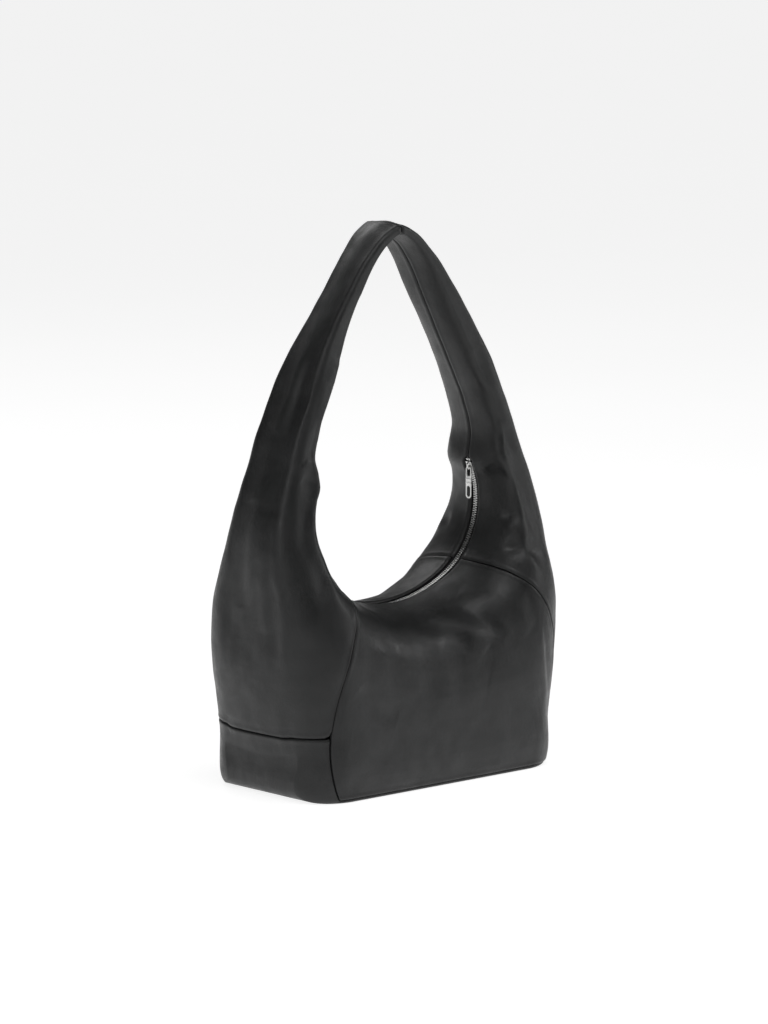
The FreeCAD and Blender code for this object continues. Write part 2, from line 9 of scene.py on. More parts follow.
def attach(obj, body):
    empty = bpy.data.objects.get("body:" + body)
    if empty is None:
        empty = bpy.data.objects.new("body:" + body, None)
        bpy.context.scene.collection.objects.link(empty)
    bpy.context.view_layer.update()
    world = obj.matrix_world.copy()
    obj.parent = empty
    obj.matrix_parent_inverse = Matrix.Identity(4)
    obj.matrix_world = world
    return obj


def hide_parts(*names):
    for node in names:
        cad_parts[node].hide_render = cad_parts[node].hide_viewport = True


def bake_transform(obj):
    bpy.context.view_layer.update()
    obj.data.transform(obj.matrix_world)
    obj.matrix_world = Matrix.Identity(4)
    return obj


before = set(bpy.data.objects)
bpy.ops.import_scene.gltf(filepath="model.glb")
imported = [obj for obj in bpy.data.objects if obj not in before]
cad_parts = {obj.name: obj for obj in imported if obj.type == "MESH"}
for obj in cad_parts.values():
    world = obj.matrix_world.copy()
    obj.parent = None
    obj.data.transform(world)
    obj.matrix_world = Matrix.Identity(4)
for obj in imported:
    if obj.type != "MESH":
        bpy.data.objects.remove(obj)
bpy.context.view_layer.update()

# The outer shape is worked out in millimetres, as the real pattern is, and meshes are made in metres.
MM = 0.001

# Walls: height, half length, half depth, plan corner radius.
WALLS = np.array((
    (0, 167.5, 91, 44), (8, 170.8, 91.2, 44), (16, 172.9, 91.4, 44), (30, 174.2, 91.7, 43),
    (50, 175.5, 92, 42), (110, 181.5, 93, 40), (160, 186.6, 92, 42), (200, 188, 84, 36),
    (235, 189, 68, 30), (270, 187, 55, 24), (300, 180, 48, 20), (350, 162.6, 42, 15),
    (400, 141, 37, 10), (455, 110, 30, 7), (505, 76, 27, 6), (550, 41, 26, 5), (580, 0, 27, 4.5)))
FLOOR_RADIUS = 6.0
WALL_BULGE = 4.0
LEG_BULGE = 2.0

# The mouth's crest is an arc, and a tighter arc bends up from it into each leg; angles are in degrees.
MOUTH_RADIUS = 167.0
MOUTH_CENTRE_Z = 349.0
MOUTH_HALF_ANGLE = 30.0
BEND_RADIUS = 85.0
BEND_CENTRE_X = 41.0
BEND_CENTRE_Z = 278.0
TRACK_END = 118.8

BASE_SEAM_HEIGHT = 70.0
MOUTH_EDGE = 5.4
STRAP_FLARE = 0.18


def mouth(slope):
    """Point of the mouth's crest where the crest climbs at this many degrees."""
    angle = math.radians(slope - 90)
    if slope <= MOUTH_HALF_ANGLE:
        return MOUTH_RADIUS * math.cos(angle), MOUTH_CENTRE_Z + MOUTH_RADIUS * math.sin(angle)
    return BEND_CENTRE_X + BEND_RADIUS * math.cos(angle), BEND_CENTRE_Z + BEND_RADIUS * math.sin(angle)


# Stations round the right half of the loop: crest x and z, outer x and z, shoulder length, fullness.
RIGHT_STATIONS = np.array((
    mouth(0) + (0, 0, 60, 2.3),
    mouth(14) + (45, 0, 60, 2.3),
    mouth(27) + (90, 0, 60, 2.4),
    mouth(36) + (126, 0, 58, 2.5),
    mouth(44) + (150, 0, 54, 2.6),
    mouth(50) + (167, 4, 50, 2.6),
    mouth(56) + (175, 50, 46, 2.5),
    mouth(63) + (181, 110, 40, 2.4),
    mouth(71) + (186, 160, 34, 2.3),
    mouth(80) + (188, 205, 29, 2.2),
    mouth(89) + (189, 243, 25, 2.1),
    mouth(98) + (185, 280, 22, 2.0),
    mouth(107) + (177, 310, 19, 1.9),
    mouth(117) + (166, 338, 17, 1.9),
    (120, 350, 155, 370, 15, 1.9),
    (110, 384, 141, 400, 13, 1.8),
    (94, 418, 122, 434, 11, 1.8),
    (73, 460, 99, 472, 9, 1.8),
    (50, 504, 70, 513, 7, 1.8),
    (30, 541, 42, 550, 5, 1.8),
    (14, 560, 19, 572, 4, 1.8),
    (0, 568, 0, 580, 4, 1.8)))

# Stations by number: where walls can start, the base's corner, where walls end, the leg, the zip's end.
WALL_FROM = 3
CORNER = 5
WALL_TO = 9
LEG_FROM = 10
LEG_TO = 14
TRACK_STATION = 13
MIRROR = np.array((-1, 1, -1, 1, 1, 1))


def slopes_at(places, rows):
    """Slopes of a smooth curve through rows of values at uneven places."""
    span = np.diff(places)[:, None]
    rate = np.diff(rows, axis=0) / span
    middle = (rate[:-1] * span[1:] + rate[1:] * span[:-1]) / (span[:-1] + span[1:])
    return np.vstack((rate[:1], middle, rate[-1:]))


def hermite(places, rows, slopes, x):
    """Values at x on the smooth curve that has these rows and slopes at these places."""
    i = np.clip(np.searchsorted(places, x) - 1, 0, len(places) - 2)
    span = (places[i + 1] - places[i])[..., None]
    u = (x - places[i])[..., None] / span
    rise = u * u * (3 - 2 * u)
    bend = span * (u * (1 - u) ** 2 * slopes[i] - u * u * (1 - u) * slopes[i + 1])
    return (1 - rise) * rows[i] + rise * rows[i + 1] + bend


STEPS = np.diff(RIGHT_STATIONS, axis=0)
STEP_LENGTHS = (np.hypot(STEPS[:, 0], STEPS[:, 1]) + np.hypot(STEPS[:, 2], STEPS[:, 3])) / 2
KNOTS = np.concatenate(((0,), np.cumsum(STEP_LENGTHS)))
APEX = KNOTS[-1]
LOOP_ROWS = np.vstack((RIGHT_STATIONS[:0:-1] * MIRROR, RIGHT_STATIONS))
LOOP_KNOTS = np.concatenate((-KNOTS[:0:-1], KNOTS))
LOOP_ROWS = np.vstack((RIGHT_STATIONS[-2], LOOP_ROWS, RIGHT_STATIONS[-2] * MIRROR))
LOOP_KNOTS = np.concatenate(((KNOTS[-2] - 2 * APEX,), LOOP_KNOTS, (2 * APEX - KNOTS[-2],)))
LOOP_SLOPES = slopes_at(LOOP_KNOTS, LOOP_ROWS)
WALL_SLOPES = slopes_at(WALLS[:, 0], WALLS[:, 1:])


def station(t):
    """Station values at t millimetres round the loop from the mouth's middle, below 0 on the left."""
    return hermite(LOOP_KNOTS, LOOP_ROWS, LOOP_SLOPES, np.clip(t, -APEX, APEX))


def smooth(low, high, value):
    """0 up to low, 1 from high on and an even rise between."""
    u = np.clip((value - low) / (high - low), 0, 1)
    return u * u * (3 - 2 * u)


def unsmooth(share):
    """The w whose share of the way down a wall is this."""
    return 0.5 - np.sin(np.arcsin(1 - 2 * np.clip(share, 0, 1)) / 3)


def blend(share, start, end):
    return start + (end - start) * share


def corner_drop(radius, edge):
    """How far a rounded corner falls back from the flat, at a distance in from its edge."""
    edge = np.clip(edge, 0, radius)
    return radius - np.sqrt(np.maximum(radius ** 2 - (radius - edge) ** 2, 0))


def skin(t, w):
    """Outer shape in millimetres, t round the loop and w across it.

    w is 0 at the front crest, 1 at the outer corner, 2 at the outer middle and 4 at the back crest.
    """
    t, w = np.broadcast_arrays(np.asarray(t, float), np.asarray(w, float))
    back = w > 2
    w = np.where(back, 4 - w, w)
    row = station(t)
    crest, outer = row[..., 0:2], row[..., 2:4]
    length = np.hypot(*np.moveaxis(outer - crest, -1, 0))
    s = smooth(0, 1, w)
    place = crest + (outer - crest) * s[..., None]
    x, z = place[..., 0], place[..., 1]
    wall = hermite(WALLS[:, 0], WALLS[:, 1:], WALL_SLOPES, np.clip(z, 0, WALLS[-1, 0]))
    leg = smooth(KNOTS[LEG_FROM], KNOTS[LEG_TO], np.abs(t))
    edge = (1 - leg) * (wall[..., 0] - np.abs(x)) + leg * (1 - s) * length
    depth = wall[..., 1] - corner_drop(wall[..., 2], edge) - corner_drop(FLOOR_RADIUS, z)
    closed = 1 - np.clip(s * length / row[..., 4], 0, 1)
    depth = np.maximum(depth, 0.5) * np.maximum(1 - closed ** row[..., 5], 0) ** (1 / row[..., 5])
    v = np.clip(w - 1, 0, 1)
    bulge = blend(leg, WALL_BULGE, LEG_BULGE) * smooth(0, 40, outer[..., 1]) * smooth(0, 1, v) / length
    x = x + bulge * (outer - crest)[..., 0]
    z = z + bulge * (outer - crest)[..., 1]
    y = np.where(back, depth, -depth) * (1 - v)
    flare = STRAP_FLARE * smooth(420, 520, z) * np.clip(x / 50, -1, 1)
    return np.stack((x - flare * y, y, z), -1)


HALVINGS = 30
SHOULDER_END = 0.7


def solve(low, high, rises, shape):
    """Value between low and high where rises(value) turns from negative to positive, for whole arrays."""
    low = np.broadcast_to(low, shape).astype(float)
    high = np.broadcast_to(high, shape).astype(float)
    for _ in range(HALVINGS):
        middle = (low + high) / 2
        under = rises(middle) < 0
        low = np.where(under, middle, low)
        high = np.where(under, high, middle)
    return (low + high) / 2


def at_depth(t, depth):
    """w where the front shoulder has reached this distance from the middle plane."""
    t = np.asarray(t, float)
    return solve(0, SHOULDER_END, lambda w: -skin(t, w)[..., 1] - depth, np.broadcast(t, depth).shape)


# Each side seam runs from the mouth's corner to the ground: control points, x and z, of one smooth curve.
FRONT_LEFT_SEAM = np.array((mouth(44), (118, 175), (184, 95), (141, 3)))
FRONT_RIGHT_SEAM = np.array((mouth(44), (120, 205), (200, 165), (158, 3)))
BACK_SEAM = np.array((mouth(44), (116, 180), (182, 108), (145, 3)))
SEAM_SHARES = np.linspace(0, 1, 121)
MOUTH_SHARES = 40
HALF_GAP = 0.15
TRACK_TOP = KNOTS[TRACK_STATION]
FLOOR_EDGE = 3.0
FLOOR_CORNER = KNOTS[CORNER] - 5
BASE_TURN = 0.66


def pair(t, w):
    """Places (t, w) from one array, or number, of each."""
    return np.stack(np.broadcast_arrays(t, w), -1)


def flat(t, w):
    """Where a place (t, w) on a wall lies seen straight from the front, as x and z."""
    row = station(t)
    return row[..., 0:2] + (row[..., 2:4] - row[..., 0:2]) * smooth(0, 1, np.asarray(w))[..., None]


def place_of(p):
    """Place (t, w) on a wall that lies at x and z seen from the front."""
    side = np.where(p[..., 0] < 0, -1, 1)
    x, z = np.abs(p[..., 0]), p[..., 1]

    def beside(t):
        crest_x, crest_z, outer_x, outer_z = np.moveaxis(station(t)[..., :4], -1, 0)
        return (crest_z - z) * (outer_x - crest_x) - (crest_x - x) * (outer_z - crest_z)

    low = np.where(x > RIGHT_STATIONS[WALL_FROM, 2], KNOTS[WALL_FROM], 0)
    t = solve(low, KNOTS[WALL_TO], beside, x.shape)
    row = station(t)
    return pair(side * t, unsmooth((row[..., 1] - z) / (row[..., 1] - row[..., 3])))


def seam_table(curve):
    """Places (t, w) down a side seam, at SEAM_SHARES."""
    u = SEAM_SHARES[:, None]
    upper = (1 - u) ** 3 * curve[0] + 3 * (1 - u) ** 2 * u * curve[1]
    lower = 3 * (1 - u) * u * u * curve[2] + u ** 3 * curve[3]
    return place_of(upper + lower)


def seam_at(table, share):
    """Places (t, w) a share of the way down a seam."""
    places = [np.interp(share, SEAM_SHARES, column) for column in table.T]
    return np.stack((places[0], np.minimum(places[1], 1)), -1)


def level_share(table, height):
    """Share of the way down a seam where it is at this height."""
    z = skin(table[:, 0], table[:, 1])[:, 2]
    return float(np.interp(-height, -z, SEAM_SHARES))


def mouth_share(table, depth):
    """Share of the way down a seam where it is this far from the middle plane."""
    y = skin(table[:, 0], table[:, 1])[:MOUTH_SHARES, 1]
    return float(np.interp(depth, -y, SEAM_SHARES[:MOUTH_SHARES]))


LEFT_FRONT = seam_table(FRONT_LEFT_SEAM)
RIGHT_FRONT = seam_table(FRONT_RIGHT_SEAM)
BACK = seam_table(BACK_SEAM)


def floor_edge(t, height):
    """w where the wall comes down to this height."""
    row = station(t)
    return unsmooth((row[..., 1] - height) / (row[..., 1] - row[..., 3]))


def level_place(w, height):
    """Place round the loop where the shape is at this height, along one value of w."""
    return solve(KNOTS[WALL_FROM], KNOTS[LEG_FROM], lambda t: skin(t, w)[..., 2] - height, w.shape)


def patch(u, v, low, high, left, right):
    """Places (t, w) spread evenly between four curves: low and high run with u, left and right with v."""
    none, full = np.zeros(u.shape), np.ones(u.shape)
    u2, v2 = u[..., None], v[..., None]
    sides = (1 - v2) * low(u) + v2 * high(u) + (1 - u2) * left(v) + u2 * right(v)
    low_corners = (1 - u2) * low(none) + u2 * low(full)
    high_corners = (1 - u2) * high(none) + u2 * high(full)
    return sides - ((1 - v2) * low_corners + v2 * high_corners)


def wall_rule(left, right, top_depth=MOUTH_EDGE):
    """Wall between two seams, from the mouth down to the floor's edge; left's places are mirrored."""
    left_top = mouth_share(left, top_depth)
    right_top = mouth_share(right, top_depth)

    def edge(left_end, right_end, depth_of):
        def curve(u):
            t = blend(u, -seam_at(left, left_end)[..., 0], seam_at(right, right_end)[..., 0])
            return flat(t, depth_of(t))
        return curve

    def seam(table, top, side):
        return lambda v: flat(*np.moveaxis(seam_at(table, blend(v, top, 1)), -1, 0)) * (side, 1)

    def rule(a, b):
        places = place_of(patch(a, b,
                                edge(left_top, right_top, lambda t: at_depth(t, top_depth)),
                                edge(1, 1, lambda t: floor_edge(t, FLOOR_EDGE)),
                                seam(left, left_top, -1), seam(right, right_top, 1)))
        return places[..., 0], places[..., 1]

    return rule


def half_row(first_t, first_w, last_t):
    """Row from a seam round to the outer middle."""
    return lambda u: pair(blend(1 - (1 - u) ** 2, first_t, last_t), blend(u, first_w, 2))


def level_row(first_w, height):
    """Row at one height from a seam round to the outer middle."""
    def curve(u):
        w = blend(u, first_w, 2)
        return pair(level_place(w, height), w)
    return curve


def both_halves(b, front_patch, back_patch):
    """Front and back halves of a piece that goes round the outside, as one array of places."""
    c = 2 * b - 1
    front = front_patch(np.clip(1 + c, 0, 1))
    back = back_patch(np.clip(1 - c, 0, 1))
    return (np.where(c < 0, front[..., 0], back[..., 0]), np.where(c < 0, front[..., 1], 4 - back[..., 1]))


def side_half(table, rise, edge_deep, end_t):
    """Front or back half of a side, which lies above a seam and a level foot."""
    height = BASE_SEAM_HEIGHT + HALF_GAP
    seam_ends = (mouth_share(table, edge_deep), level_share(table, BASE_SEAM_HEIGHT))
    down_seam = seam_at(table, np.linspace(*seam_ends, 200))
    foot_w = np.linspace(down_seam[-1, 1], 2, 100)[1:]
    foot = np.vstack((down_seam, pair(level_place(foot_w, height), foot_w)))
    edge_t = blend(rise, foot[0, 0], end_t)
    closing = smooth(TRACK_TOP + 2, TRACK_TOP + 8, edge_t)
    edge_w = at_depth(edge_t, blend(closing, edge_deep, HALF_GAP))

    def half(u):
        foot_t = np.interp(blend(u, foot[0, 1], 2), foot[:, 1], foot[:, 0])
        return pair(blend(rise, foot_t, end_t), blend(u, edge_w, 2))

    return half


def side_rule(front, back, edge_deep=MOUTH_EDGE, end_t=APEX - 0.2):
    """Right side between two seams, from its level foot up the leg, with its rows closer at the foot."""
    def rule(a, b):
        return both_halves(b, *[side_half(table, a ** 1.3, edge_deep, end_t) for table in (front, back)])
    return rule


def base_half(table, share, along):
    """Front or back half of one end of the base."""
    turn = level_share(table, BASE_SEAM_HEIGHT)
    height = BASE_SEAM_HEIGHT - HALF_GAP
    turn_w = seam_at(table, turn)[1]
    low_t, low_w = seam_at(table, 1.0)
    middle_t = level_place(np.array(2.0), height)
    corner_row = half_row(low_t, low_w, FLOOR_CORNER)

    def half(u):
        end = patch(u, share, corner_row, level_row(turn_w, height),
                    lambda v: seam_at(table, blend(v, 1, turn)),
                    lambda v: pair(blend(v, FLOOR_CORNER, middle_t), 2.0))
        edge_w = floor_edge(along * low_t, FLOOR_EDGE)
        floor = pair(along * corner_row(u)[..., 0], blend(u, edge_w, 2))
        return np.where((share > 0)[..., None], end, floor)

    return half


def base_rule(a, b):
    """Base with its two turned-up ends, under the bag from the left end's seam to the right end's."""
    c = 2 * a - 1
    share = np.clip((np.abs(c) - BASE_TURN) / (1 - BASE_TURN), 0, 1)
    along = np.clip(np.abs(c) / BASE_TURN, 0, 1)
    ends = [both_halves(b, *[base_half(table, share, along) for table in (front, BACK)])
            for front in (LEFT_FRONT, RIGHT_FRONT)]
    return np.where(c < 0, -ends[0][0], ends[1][0]), np.where(c < 0, ends[0][1], ends[1][1])


def normals_of(points):
    """Outward normals of a grid of points."""
    along = np.gradient(points, axis=0)
    over = np.gradient(points, axis=1)
    normal = np.cross(over, along)
    return normal / np.maximum(np.linalg.norm(normal, axis=-1, keepdims=True), 1e-9)


def edge_distances(points):
    """How far each point is from the four edges of its grid, along the rows and columns."""
    down = np.linalg.norm(np.diff(points, axis=0), axis=-1)
    over = np.linalg.norm(np.diff(points, axis=1), axis=-1)
    from_start = np.concatenate((np.zeros((1, points.shape[1])), np.cumsum(down, axis=0)))
    from_left = np.concatenate((np.zeros((points.shape[0], 1)), np.cumsum(over, axis=1)), axis=1)
    return from_start, from_start[-1:] - from_start, from_left, from_left[:, -1:] - from_left


def turned_edge(distance, drop, width):
    """Leather rolls under at a sewn edge and stands a little proud just beside it."""
    roll = np.clip(1 - distance / width, 0, 1)
    ridge = 0.35 * np.exp(-((distance - 2.2 * width) / (1.3 * width)) ** 2)
    return ridge - drop * (1 - np.sqrt(np.maximum(1 - roll ** 2, 0)))


def mesh_from_grid(name, points, inner=None):
    """Mesh from a grid of points, facing outwards; inner closes it to a thin solid."""
    rows, columns = points.shape[:2]
    index = np.arange(rows * columns).reshape(rows, columns)
    quads = np.stack((index[:-1, :-1], index[:-1, 1:], index[1:, 1:], index[1:, :-1]), -1).reshape(-1, 4)
    places = points.reshape(-1, 3)
    if inner is not None:
        rim = np.concatenate((index[0], index[1:, -1], index[-1, -2::-1], index[-2:0:-1, 0]))
        after = np.roll(rim, -1)
        walls = np.stack((after, rim, rim + rows * columns, after + rows * columns), -1)
        quads = np.concatenate((quads, quads[:, ::-1] + rows * columns, walls))
        places = np.concatenate((places, inner.reshape(-1, 3)))
    return mesh_of(name, places, quads.tolist())


def mesh_of(name, places, faces):
    """Smooth mesh object in metres from places in millimetres."""
    mesh = bpy.data.meshes.new(name)
    mesh.from_pydata((np.asarray(places) * MM).tolist(), [], faces)
    mesh.shade_smooth()
    piece = bpy.data.objects.new(name, mesh)
    bpy.context.collection.objects.link(piece)
    return piece


def even(count, ends=0.0):
    """Shares from 0 to 1, closer together near both ends when ends is above 0."""
    share = np.linspace(0, 1, count)
    return (1 - ends) * share + ends * (0.5 - 0.5 * np.cos(math.pi * share))


SAG_ROWS = 190
SAG_COLUMNS = 84
SAG_FRAMES = 22
SAG_CAP = 4.5


def sag_edge(t):
    """w of the soft shell's edge: beside the zip along the mouth, closed up the legs."""
    away = np.abs(t)
    return at_depth(away, blend(smooth(TRACK_TOP, TRACK_TOP + 8, away), MOUTH_EDGE, HALF_GAP))


def sagged():
    """Offsets, in millimetres, of the soft shell after it has hung full of light stuffing for a moment."""
    t, share = np.meshgrid(np.linspace(-APEX, APEX, SAG_ROWS), np.linspace(0, 1, SAG_COLUMNS), indexing="ij")
    w = 2 + (2 * share - 1) * (2 - sag_edge(t))
    rest = skin(t, w)
    shell = mesh_from_grid("sagging_shell", rest)
    from_edge = np.minimum(share, 1 - share) * (SAG_COLUMNS - 1)
    held = np.maximum.reduce((1 - smooth(1, 7, from_edge), 1 - smooth(2, 22, rest[..., 2]),
                              smooth(400, 470, rest[..., 2])))
    group = shell.vertex_groups.new(name="held")
    for i, weight in enumerate(held.ravel().tolist()):
        group.add([i], weight, "REPLACE")
    cloth = shell.modifiers.new("cloth", "CLOTH")
    cloth.settings.quality = 6
    cloth.settings.mass = 0.25
    cloth.settings.tension_stiffness = 25
    cloth.settings.compression_stiffness = 25
    cloth.settings.shear_stiffness = 12
    cloth.settings.bending_stiffness = 2.5
    cloth.settings.air_damping = 3
    cloth.settings.shrink_min = -0.02
    cloth.settings.use_pressure = True
    cloth.settings.uniform_pressure_force = 3.0
    cloth.settings.vertex_group_mass = "held"
    cloth.settings.effector_weights.gravity = 0.25
    cloth.collision_settings.use_collision = False
    cloth.point_cache.frame_start = 1
    cloth.point_cache.frame_end = SAG_FRAMES
    for frame_number in range(1, SAG_FRAMES + 1):
        bpy.context.scene.frame_set(frame_number)
    settled = shell.evaluated_get(bpy.context.evaluated_depsgraph_get()).data
    places = np.empty(len(settled.vertices) * 3)
    settled.vertices.foreach_get("co", places)
    offset = places.reshape(rest.shape) / MM - rest
    bpy.data.objects.remove(shell)
    bpy.context.scene.frame_set(1)
    size = np.maximum(np.linalg.norm(offset, axis=-1, keepdims=True), 1e-6)
    offset = offset * SAG_CAP * np.tanh(size / SAG_CAP) / size
    for axis in (0, 1, 0, 1):
        before = np.roll(offset, 1, axis)
        after = np.roll(offset, -1, axis)
        mean = (before + 2 * offset + after) / 4
        inside = (slice(1, -1),) * 2
        offset[inside] = mean[inside]
    return offset


def sag_at(t, w):
    """The settled shell's offset at places (t, w)."""
    edge = sag_edge(t)
    rows = np.clip((t + APEX) / (2 * APEX) * (SAG_ROWS - 1), 0, SAG_ROWS - 1.001)
    columns = np.clip(((w - 2) / (2 - edge) + 1) / 2 * (SAG_COLUMNS - 1), 0, SAG_COLUMNS - 1.001)
    i, j = rows.astype(int), columns.astype(int)
    u, v = (rows - i)[..., None], (columns - j)[..., None]
    return ((1 - u) * (1 - v) * SAG[i, j] + u * (1 - v) * SAG[i + 1, j]
            + (1 - u) * v * SAG[i, j + 1] + u * v * SAG[i + 1, j + 1])


def distance_to_path(points, path):
    """Distance of each point to a bent line, and the share of the way along it."""
    nearest = np.full(points.shape[:-1], 1e9)
    share = np.zeros(points.shape[:-1])
    for k, (p, q) in enumerate(zip(path, path[1:])):
        step = q - p
        u = np.clip(((points - p) @ step) / (step @ step), 0, 1)
        away = np.linalg.norm(points - p - u[..., None] * step, axis=-1)
        share = np.where(away < nearest, (k + u) / (len(path) - 1), share)
        nearest = np.minimum(nearest, away)
    return nearest, share


def fold_shape(distance, share, height, width):
    """One soft fold that fades out at both ends."""
    return height * np.exp(-(distance / width) ** 2) * np.sqrt(np.clip(4 * share * (1 - share), 0, 1))


# Folds on the outside, in millimetres: height (below 0 is a crease), width, then points on the surface.
FOLDS = (
    (-1.6, 5, ((-70, -60, 196), (-44, -80, 178), (-18, -90, 158))),
    (1.3, 9, ((-50, -60, 196), (-20, -85, 172), (4, -90, 150))),
    (-1.4, 7, ((-14, -55, 190), (14, -84, 168), (40, -92, 146))),
    (2.2, 10, ((6, -50, 190), (34, -80, 168), (62, -92, 142))),
    (-1.6, 7, ((44, -55, 192), (62, -80, 170), (84, -92, 148))),
    (1.6, 11, ((64, -50, 198), (90, -80, 176), (118, -90, 150))),
    (-1.3, 9, ((-120, -88, 120), (-100, -92, 96), (-70, -93, 82))),
    (1.2, 18, ((60, -93, 110), (110, -93, 96), (150, -70, 84))),
    (-2.6, 5, ((128, -44, 266), (150, -46, 260), (170, -30, 262))),
    (2.0, 6, ((126, -48, 256), (150, -52, 248), (174, -34, 250))),
    (-2.4, 5, ((118, -56, 236), (144, -64, 226), (176, -46, 230))),
    (1.6, 8, ((112, -60, 222), (142, -72, 212), (176, -52, 214))),
    (-1.8, 6, ((122, -30, 318), (140, -38, 304), (160, -36, 282))),
    (1.5, 7, ((118, -32, 342), (140, -42, 322), (160, -38, 300))),
    (-2.2, 5, ((-118, -10, 236), (-136, -44, 232), (-158, -62, 222))),
    (2.2, 6, ((-112, -14, 224), (-130, -56, 218), (-158, -72, 206))),
    (-4.0, 13, ((-120, -16, 300), (-122, -18, 275), (-118, -16, 245))),
    (-2.0, 5, ((-124, -10, 312), (-138, -36, 322), (-150, -40, 336))),
    (1.8, 6, ((-120, -10, 328), (-134, -36, 338), (-146, -38, 352))),
    (-1.8, 6, ((-150, -44, 300), (-164, -44, 262), (-176, -58, 220))),
    (1.6, 8, ((-138, -46, 312), (-152, -50, 268), (-166, -72, 222))),
    (1.5, 9, ((-176, -20, 300), (-186, -22, 240), (-188, -24, 180))),
    (-1.5, 8, ((-176, 8, 310), (-186, 10, 250), (-190, 14, 200))),
    (-1.6, 5, ((-104, -30, 430), (-122, -36, 395), (-136, -40, 350))),
    (1.5, 6, ((-92, -28, 452), (-112, -34, 418), (-128, -40, 372))),
    (-1.4, 5, ((-118, -12, 450), (-136, -14, 410), (-154, -16, 356))),
    (1.2, 6, ((-110, -2, 470), (-132, -2, 424), (-152, 0, 376))),
    (-1.2, 5, ((-54, -27, 512), (-74, -28, 482), (-92, -30, 446))),
    (1.0, 6, ((-60, -10, 524), (-82, -12, 488), (-104, -14, 450))),
    (-1.6, 5, ((96, -30, 440), (114, -36, 408), (130, -40, 362))),
    (1.4, 7, ((104, -24, 450), (126, -32, 404), (142, -36, 356))),
    (-1.5, 8, ((60, 80, 182), (30, 92, 160), (4, 93, 138))),
    (1.8, 10, ((34, 78, 184), (6, 92, 160), (-22, 93, 136))),
    (-1.5, 8, ((-50, 76, 188), (-70, 92, 164), (-96, 93, 142))),
    (-2.2, 6, ((-118, 44, 262), (-150, 50, 254), (-176, 30, 262))),
    (1.8, 7, ((-118, 52, 246), (-148, 60, 240), (-180, 40, 244))),
    (-2.0, 6, ((122, 40, 250), (148, 54, 240), (178, 36, 246))),
    (1.5, 9, ((176, 20, 300), (186, 22, 240), (190, 24, 180))),
    (-1.4, 8, ((178, -8, 300), (187, -10, 250), (190, -14, 190))),
    (-1.3, 6, ((-100, 30, 438), (-120, 36, 400), (-138, 40, 350))),
    (-1.3, 6, ((100, 30, 438), (120, 36, 400), (138, 40, 350))))
FOLD_GAIN = 1.25
DEEPEST = -3.2
BROAD_WAVE = 62.0
FINE_WAVE = 21.0
FINE_WAVE_HEIGHT = 0.45
FINE_SHIFT = Vector((9, 3, 1))


def relief(points):
    """Height of the leather over the plain shape, in millimetres, at each point."""
    height = np.zeros(points.shape[0] * points.shape[1])
    for i, p in enumerate(points.reshape(-1, 3)):
        q = Vector(p)
        height[i] = noise.noise(q / BROAD_WAVE) + FINE_WAVE_HEIGHT * noise.noise(q / FINE_WAVE + FINE_SHIFT)
    height = height.reshape(points.shape[:2])
    for fold_height, width, path in FOLDS:
        distance, share = distance_to_path(points, np.array(path, float))
        height += fold_shape(distance, share, FOLD_GAIN * fold_height, FOLD_GAIN * width)
    return np.maximum(height, DEEPEST) * mouth_fade(points)


def mouth_fade(points):
    """0 beside the zip and at the ground, 1 elsewhere; about half along the strap's narrow top."""
    x, y, z = np.moveaxis(points, -1, 0)
    away = blend(smooth(480, 540, z), smooth(5, 22, np.abs(y)), 0)
    loop = smooth(330, 350, z) * (1 - 0.55 * smooth(480, 550, z))
    outside = smooth(0.55, 0.8, x ** 2 / 180 ** 2) * smooth(120, 150, np.abs(x))
    return np.clip(np.maximum.reduce((away, loop, outside)), 0, 1) * smooth(0, 14, z)


PACKING = 0.25
ROLL_WIDTH = 1.5
LEATHER_THICKNESS = 1.3


def spread(rule, rows, columns):
    """Places (t, w) of a piece's grid, evenly spaced along each row on the real surface."""
    a, b = np.meshgrid(even(rows, PACKING), np.linspace(0, 1, columns + 1), indexing="ij")
    t, w = rule(a, b)
    steps = np.linalg.norm(np.diff(skin(t, w), axis=1), axis=-1) + 1e-6
    along = np.concatenate((np.zeros((rows, 1)), np.cumsum(steps, axis=1)), axis=1)
    wanted = even(columns, PACKING)
    return [np.array([np.interp(wanted * line[-1], line, values) for line, values in zip(along, grid)])
            for grid in (t, w)]


def panel(name, rule, rows, columns, drops, mirror=None, depth=0.0, thickness=LEATHER_THICKNESS):
    """One soft piece; drops say how far its start, end, left and right edges roll under."""
    t, w = spread(rule, rows, columns)
    places = (t, w)
    points = skin(t, w)
    normals = normals_of(points)
    lift = np.full(t.shape, -depth)
    for distance, drop in zip(edge_distances(points), drops):
        if drop:
            lift += turned_edge(distance, drop, ROLL_WIDTH)
    if mirror is not None:
        points = points * mirror
        normals = normals * mirror
        places = (t * mirror[0], np.where(mirror[1] < 0, 4 - w, w))
    sway = sag_at(*places) * (mouth_fade(points) * (1 - smooth(440, 520, points[..., 2])))[..., None]
    outer = points + normals * (lift + relief(points))[..., None] + sway
    inner = outer - normals * thickness
    if mirror is not None and np.prod(mirror) < 0:
        outer = outer[:, ::-1]
        inner = inner[:, ::-1]
    return mesh_from_grid(name, outer, inner)


